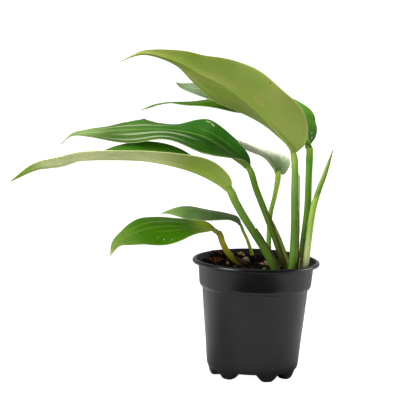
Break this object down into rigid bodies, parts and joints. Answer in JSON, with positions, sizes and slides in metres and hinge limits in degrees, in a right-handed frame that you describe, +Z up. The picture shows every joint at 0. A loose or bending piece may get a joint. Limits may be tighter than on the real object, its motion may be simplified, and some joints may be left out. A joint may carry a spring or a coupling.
{
  "type": "potted dragon tail plant",
  "caption": "Leafy aroid house plant in a round plastic nursery pot: long arching pointed leaves lean to one side on tall stalks, with a furled new leaf standing upright.",
  "frame": {"origin": "middle of the whole plant's box, on the surface that the pot stands on", "axes": "+Z up; the leaves lean towards -X; -Y is the side that the picture shows"},
  "size_m": [0.3128, 0.1888, 0.3238],
  "materials": {
    "pot": "black polypropylene with a soft satin sheen",
    "soil": "damp dark potting mix with bark chips",
    "stem": "dull green-brown stem",
    "stalk": "smooth satin leaf stalk",
    "blade": "glossy dark green above, paler and duller below",
    "new_growth": "pale satin sheath and furled leaf",
    "dry_sheath": "dry brown papery sheath"
  },
  "bodies": {
    "root": {"pot": "pot", "soil": "soil", "main_stem": "stem", "old_stem": "stem", "top_leaf_stalk": "stalk", "top_leaf_blade": "blade", "back_leaf_stalk": "stalk", "back_leaf_blade": "blade", "middle_leaf_stalk": "stalk", "middle_leaf_blade": "blade", "rear_leaf_stalk": "stalk", "rear_leaf_blade": "blade", "upper_back_leaf_stalk": "stalk", "upper_back_leaf_blade": "blade", "low_front_leaf_stalk": "stalk", "low_front_leaf_blade": "blade", "low_back_leaf_stalk": "stalk", "low_back_leaf_blade": "blade", "long_leaf_stalk": "stalk", "long_leaf_blade": "blade", "new_leaf_sheath": "new_growth", "new_leaf_roll": "new_growth", "top_leaf_dry_sheath": "dry_sheath", "middle_leaf_dry_sheath_left": "dry_sheath", "middle_leaf_dry_sheath_right": "dry_sheath", "long_leaf_dry_sheath": "dry_sheath", "low_front_leaf_dry_sheath": "dry_sheath", "husk_by_new_leaf": "dry_sheath", "husk_by_middle_leaf": "dry_sheath", "husk_by_rear_leaf": "dry_sheath"}
  },
  "joints": []
}
